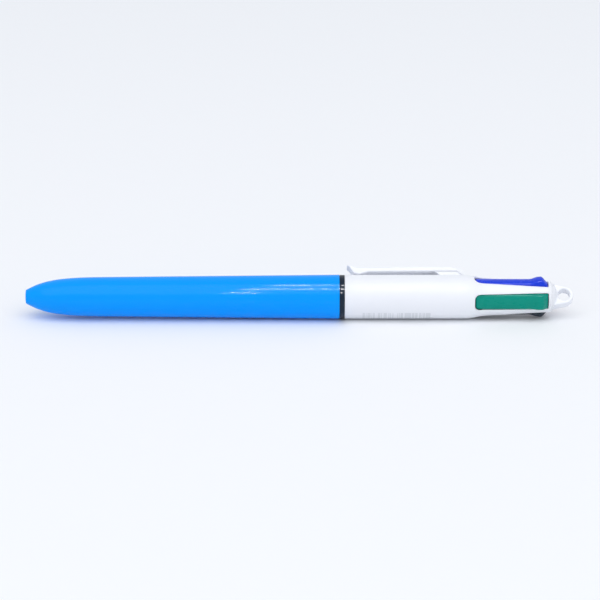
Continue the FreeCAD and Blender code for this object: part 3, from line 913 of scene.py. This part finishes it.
def slider(colour, turn):
    """Head, neck, rib, the collar that the spring pushes on, and the pin in the refill's tube."""
    work = bmesh.new()
    loft(work, [head_ring(x, turn) for x in slider_stations()])
    loft(work, [section_ring(x, 1.0, 1.5, 4.0, 0.12, turn) for x in (X_COLLAR_REAR, 121.9)])
    loft(work, [section_ring(x, 0.6, 1.35, 2.9, 0.1, turn) for x in (X_COLLAR_REAR, 138.9)])
    for outline in (
        [(X_COLLAR_FRONT, 0.0), (X_COLLAR_FRONT, 1.5), (X_COLLAR_FRONT + 0.15, 1.65),
         (X_COLLAR_REAR - 0.15, 1.65), (X_COLLAR_REAR, 1.5), (X_COLLAR_REAR, 0.0)],
        [(X_PIN, 0.0), (X_PIN, 0.6), (X_PIN + 0.12, 0.72), (X_COLLAR_FRONT + 0.1, 0.72),
         (X_COLLAR_FRONT + 0.1, 0.0)],
    ):
        loft(work, [round_ring(x, r, 32, REFILL_OFFSET, turn) for x, r in outline])
    piece = finish_mesh("slider_" + colour + "_body", work, 38)
    piece.data.materials.append(slider_finish[colour])
    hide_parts("slider_" + colour)
    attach(piece, "slider_" + colour)
    return piece


for colour, turn in TURNS.items():
    made = slider(colour, turn)
print("Slider:", len(made.data.polygons), "faces each")

# %% [markdown]
# ## Springs and refills
#
# A spring sits between the guide plate and each slider's collar. It comes from the same
# winding tree, with a round wire and coils that close up at both ends. Each refill is a
# milky tube with its ink, a turned brass point and a carbide ball.

# %% Springs, tubes, ink, points and balls
SPRING_TURNS, COIL_R, WIRE_R = 11.0, 1.5, 0.15
X_SPRING, X_SPRING_END = X_GUIDE_BACK + 0.17, 112.83
INK_ENDS = {"blue": 96.0, "green": 99.0, "black": 88.0, "red": 101.5}
TUBE_R, TUBE_BORE_R, INK_R = 1.2, 0.8, 0.78
POINT_R, GROOVE_R, SHANK_R, INK_WAY_R, BALL_R = 1.05, 0.98, 0.79, 0.22, 0.5
SHANK = 4.0
X_SHOULDER = X_TIP + 12.0


def evenly(a, b, step):
    """Lengths from a to b at about the given step."""
    count = max(1, round((b - a) / step))
    return [a + (b - a) * k / count for k in range(count + 1)]


for colour, turn in TURNS.items():
    body = "refill_" + colour
    coil = run_tree("coil_" + colour, WINDING, {
        "Turns": SPRING_TURNS, "Radius": COIL_R * MM, "Length": (X_SPRING_END - X_SPRING) * MM,
        "Steps": 40, "Closed Coils": 0.72, "Wire": WIRE_R * MM, "Finish": spring_steel})
    along_pen(coil, X_SPRING, REFILL_OFFSET, turn, spin=17.0)
    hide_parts("spring_" + colour)
    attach(coil, "root")
    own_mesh(coil)

    tube_from, tube_to = X_SHOULDER + 0.08, X_COLLAR - 0.06
    outside = [(x, TUBE_R) for x in evenly(tube_from, tube_to, 4.0)]
    inside = [(x, TUBE_BORE_R) for x in evenly(tube_to, tube_from, 4.0)]
    tube = turned("tube_" + colour, outside + inside, 40, REFILL_OFFSET, turn)
    tube.data.materials.append(tube_plastic)
    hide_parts("refill_tube_" + colour)
    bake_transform(tube)

    ink_from, ink_to = X_SHOULDER + SHANK + 0.05, INK_ENDS[colour]
    ink_outline = [(ink_from, 0.001)] + [(x, INK_R) for x in evenly(ink_from, ink_to, 4.0)]
    ink_outline += [(ink_to - 0.4, 0.4), (ink_to - 0.5, 0.001)]      # the ink's hollow end
    ink = turned("ink_" + colour + "_column", ink_outline, 32, REFILL_OFFSET, turn)
    ink.data.materials.append(ink_finish[colour])
    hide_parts("ink_" + colour)
    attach(ink, body)

    point_outline = [
        (9.32, 0.43), (9.32, 0.56), (12.4, POINT_R), (13.4, POINT_R), (13.4, GROOVE_R),
        (13.7, GROOVE_R), (13.7, POINT_R), (X_SHOULDER, POINT_R), (X_SHOULDER, SHANK_R),
        (X_SHOULDER + SHANK, SHANK_R), (X_SHOULDER + SHANK, 0.5), (13.9, 0.5),
        (13.5, INK_WAY_R), (9.95, INK_WAY_R), (9.8, 0.42),
    ]
    point = turned("point_" + colour + "_turned", rounded(point_outline, 0.05, 2), 56,
                   REFILL_OFFSET, turn, sharp=30)
    point.data.materials.append(brass)
    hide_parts("point_" + colour)
    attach(point, body)

    work = bmesh.new()
    ball_place = Matrix.Translation(place(X_TIP + BALL_R, 0, REFILL_OFFSET, turn))
    bmesh.ops.create_icosphere(work, subdivisions=4, radius=(BALL_R - 0.002) * MM,
                               matrix=ball_place)
    ball = finish_mesh("ball_" + colour + "_polished", work)
    ball.data.materials.append(carbide)
    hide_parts("ball_" + colour)
    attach(ball, "ball_" + colour)
print("Coil:", [round(v / MM, 1) for v in coil.dimensions], "mm;", len(coil.data.polygons), "faces")

# %% [markdown]
# ## Printed bars
#
# The barrel carries a faint printed row of bars. These are generic: a grid is laid along
# the barrel, a random draw with a fixed seed drops some of its columns, and what is left
# is wrapped onto the barrel a hair above its surface, so wide and narrow bars come by
# chance and say nothing.

# %% Print bars from a Geometry Nodes tree
def bar_tree():
    tree, inputs = new_tree("print_bars", [
        ("Length", "Float", 0.018), ("Columns", "Int", 72), ("Arc", "Float", 0.8),
        ("Radius", "Float", 0.006), ("Share Kept", "Float", 0.5), ("Seed", "Int", 4),
        ("Finish", "Material", None),
    ])
    n, links = tree.nodes, tree.links
    grid = n.new("GeometryNodeMeshGrid")
    grid.inputs["Vertices Y"].default_value = 12
    links.new(inputs.outputs["Length"], grid.inputs["Size X"])
    links.new(inputs.outputs["Arc"], grid.inputs["Size Y"])
    links.new(maths(tree, "ADD", inputs.outputs["Columns"], 1), grid.inputs["Vertices X"])
    position = n.new("GeometryNodeInputPosition")
    split = n.new("ShaderNodeSeparateXYZ")
    links.new(position.outputs[0], split.inputs[0])
    width = maths(tree, "DIVIDE", inputs.outputs["Length"], inputs.outputs["Columns"])
    column = maths(tree, "FLOOR", maths(tree, "DIVIDE", split.outputs["X"], width))
    draw = n.new("FunctionNodeRandomValue")
    draw.data_type = "FLOAT"
    links.new(column, draw.inputs["ID"])
    links.new(inputs.outputs["Seed"], draw.inputs["Seed"])
    drawn = [s for s in draw.outputs if s.enabled][0]
    drop = n.new("GeometryNodeDeleteGeometry")
    drop.domain = "FACE"
    links.new(grid.outputs["Mesh"], drop.inputs["Geometry"])
    dropped = maths(tree, "GREATER_THAN", drawn, inputs.outputs["Share Kept"])
    links.new(dropped, drop.inputs["Selection"])
    wrap = n.new("ShaderNodeCombineXYZ")
    links.new(split.outputs["X"], wrap.inputs["X"])
    for function, axis in (("SINE", "Y"), ("COSINE", "Z")):
        around = maths(tree, function, split.outputs["Y"])
        links.new(maths(tree, "MULTIPLY", around, inputs.outputs["Radius"]), wrap.inputs[axis])
    lay = n.new("GeometryNodeSetPosition")
    links.new(drop.outputs[0], lay.inputs["Geometry"])
    links.new(wrap.outputs[0], lay.inputs["Position"])
    close_tree(tree, lay.outputs[0], inputs.outputs["Finish"])
    return tree


print_grey = plastic("printed_grey_ink", srgb(222, 225, 231), 0.5, shade=0.05, marks=0.1, bump=0.05)
BARS_FROM, BARS_TO, BARS_LOW, BARS_HIGH = 90.9, 109.2, 14.0, 62.0
bars = run_tree("print_bars", bar_tree(), {
    "Length": (BARS_TO - BARS_FROM) * MM, "Columns": 84, "Arc": math.radians(BARS_HIGH - BARS_LOW),
    "Radius": (UPPER_R + 0.006) * MM, "Share Kept": 0.62, "Seed": 4, "Finish": print_grey})
lay_bars = Matrix.Rotation(math.radians(180 - (BARS_LOW + BARS_HIGH) / 2), 4, "X")
bars.data.transform(Matrix.Translation(place((BARS_FROM + BARS_TO) / 2, 0, 0)) @ lay_bars)
bars.data.shade_smooth()
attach(bars, "root")
print("Print bars:", len(bars.data.polygons), "faces")

# %% [markdown]
# ## Floor, light and camera
#
# The pen lies on a seamless pale floor under a broad, soft box of light. Three narrow strips
# above and in front draw the fine bright lines along the glossy barrel. The camera is a
# long lens a little above the table, square to the pen.

# %% Floor and world
floor_mesh = bpy.data.meshes.new("floor")
work = bmesh.new()
bmesh.ops.create_grid(work, x_segments=1, y_segments=1, size=3.0)
work.to_mesh(floor_mesh)
work.free()
floor = new_piece("floor", floor_mesh)
paper = plastic("studio_paper", (0.905, 0.917, 0.94, 1.0), 0.9, shade=0.002, marks=0.02,
                bump=0.0, specular=0.0)
floor.data.materials.append(paper)

scene = bpy.context.scene
world = bpy.data.worlds.new("studio")
scene.world = world
world.use_nodes = True
sky = world.node_tree.nodes["Background"]
sky.inputs["Color"].default_value = (0.93, 0.955, 1.0, 1.0)
sky.inputs["Strength"].default_value = 0.72


def area_light(name, where, aim, width, height, watts):
    """A rectangular lamp that stands at one place and faces another."""
    data = bpy.data.lights.new(name, "AREA")
    data.shape = "RECTANGLE"
    data.size = width
    data.size_y = height
    data.energy = watts
    lamp = bpy.data.objects.new(name, data)
    scene.collection.objects.link(lamp)
    lamp.location = where
    lamp.rotation_euler = (Vector(aim) - Vector(where)).to_track_quat("-Z", "Y").to_euler()
    return lamp


CENTRE = place(74.06, 0, -0.95)
STREAK_DISTANCE, STREAK_HEIGHT = 0.42, 0.011
softbox = area_light("softbox", (0.0, -0.75, 1.38), CENTRE, 2.6, 1.7, 15.0)


def streak(name, elevation, x_from, x_to, watts):
    """A narrow lamp in front of the pen that its barrel mirrors as a fine line."""
    angle = math.radians(elevation)
    aim = CENTRE + Vector(((x_from + x_to) / 2, 0, 0))
    where = aim + STREAK_DISTANCE * Vector((0, -math.cos(angle), math.sin(angle)))
    lamp = area_light(name, where, aim, x_to - x_from, STREAK_HEIGHT, watts)
    lamp.visible_diffuse = False
    return lamp


streaks = [streak("streak_high", 82.4, 0.002, 0.14, 0.6),
           streak("streak_middle", 60.4, -0.018, 0.14, 0.9),
           streak("streak_low", 40.4, -0.032, 0.006, 0.18)]

# %% [markdown]
# The camera sits twenty degrees above the table. Its view is named from the middle of the
# pen, so the pen fills the frame from edge to edge.

# %% Camera and view transform
ELEVATION, DISTANCE = 20.0, 0.8
camera_data = bpy.data.cameras.new("camera")
camera_data.lens = 177.5
camera_data.sensor_width = 36.0
camera = bpy.data.objects.new("camera", camera_data)
scene.collection.objects.link(camera)
camera.location = CENTRE + DISTANCE * Vector((0, -math.cos(math.radians(ELEVATION)),
                                              math.sin(math.radians(ELEVATION))))
camera.rotation_euler = (CENTRE - camera.location).to_track_quat("-Z", "Y").to_euler()
scene.camera = camera
scene.view_settings.view_transform = "Standard"
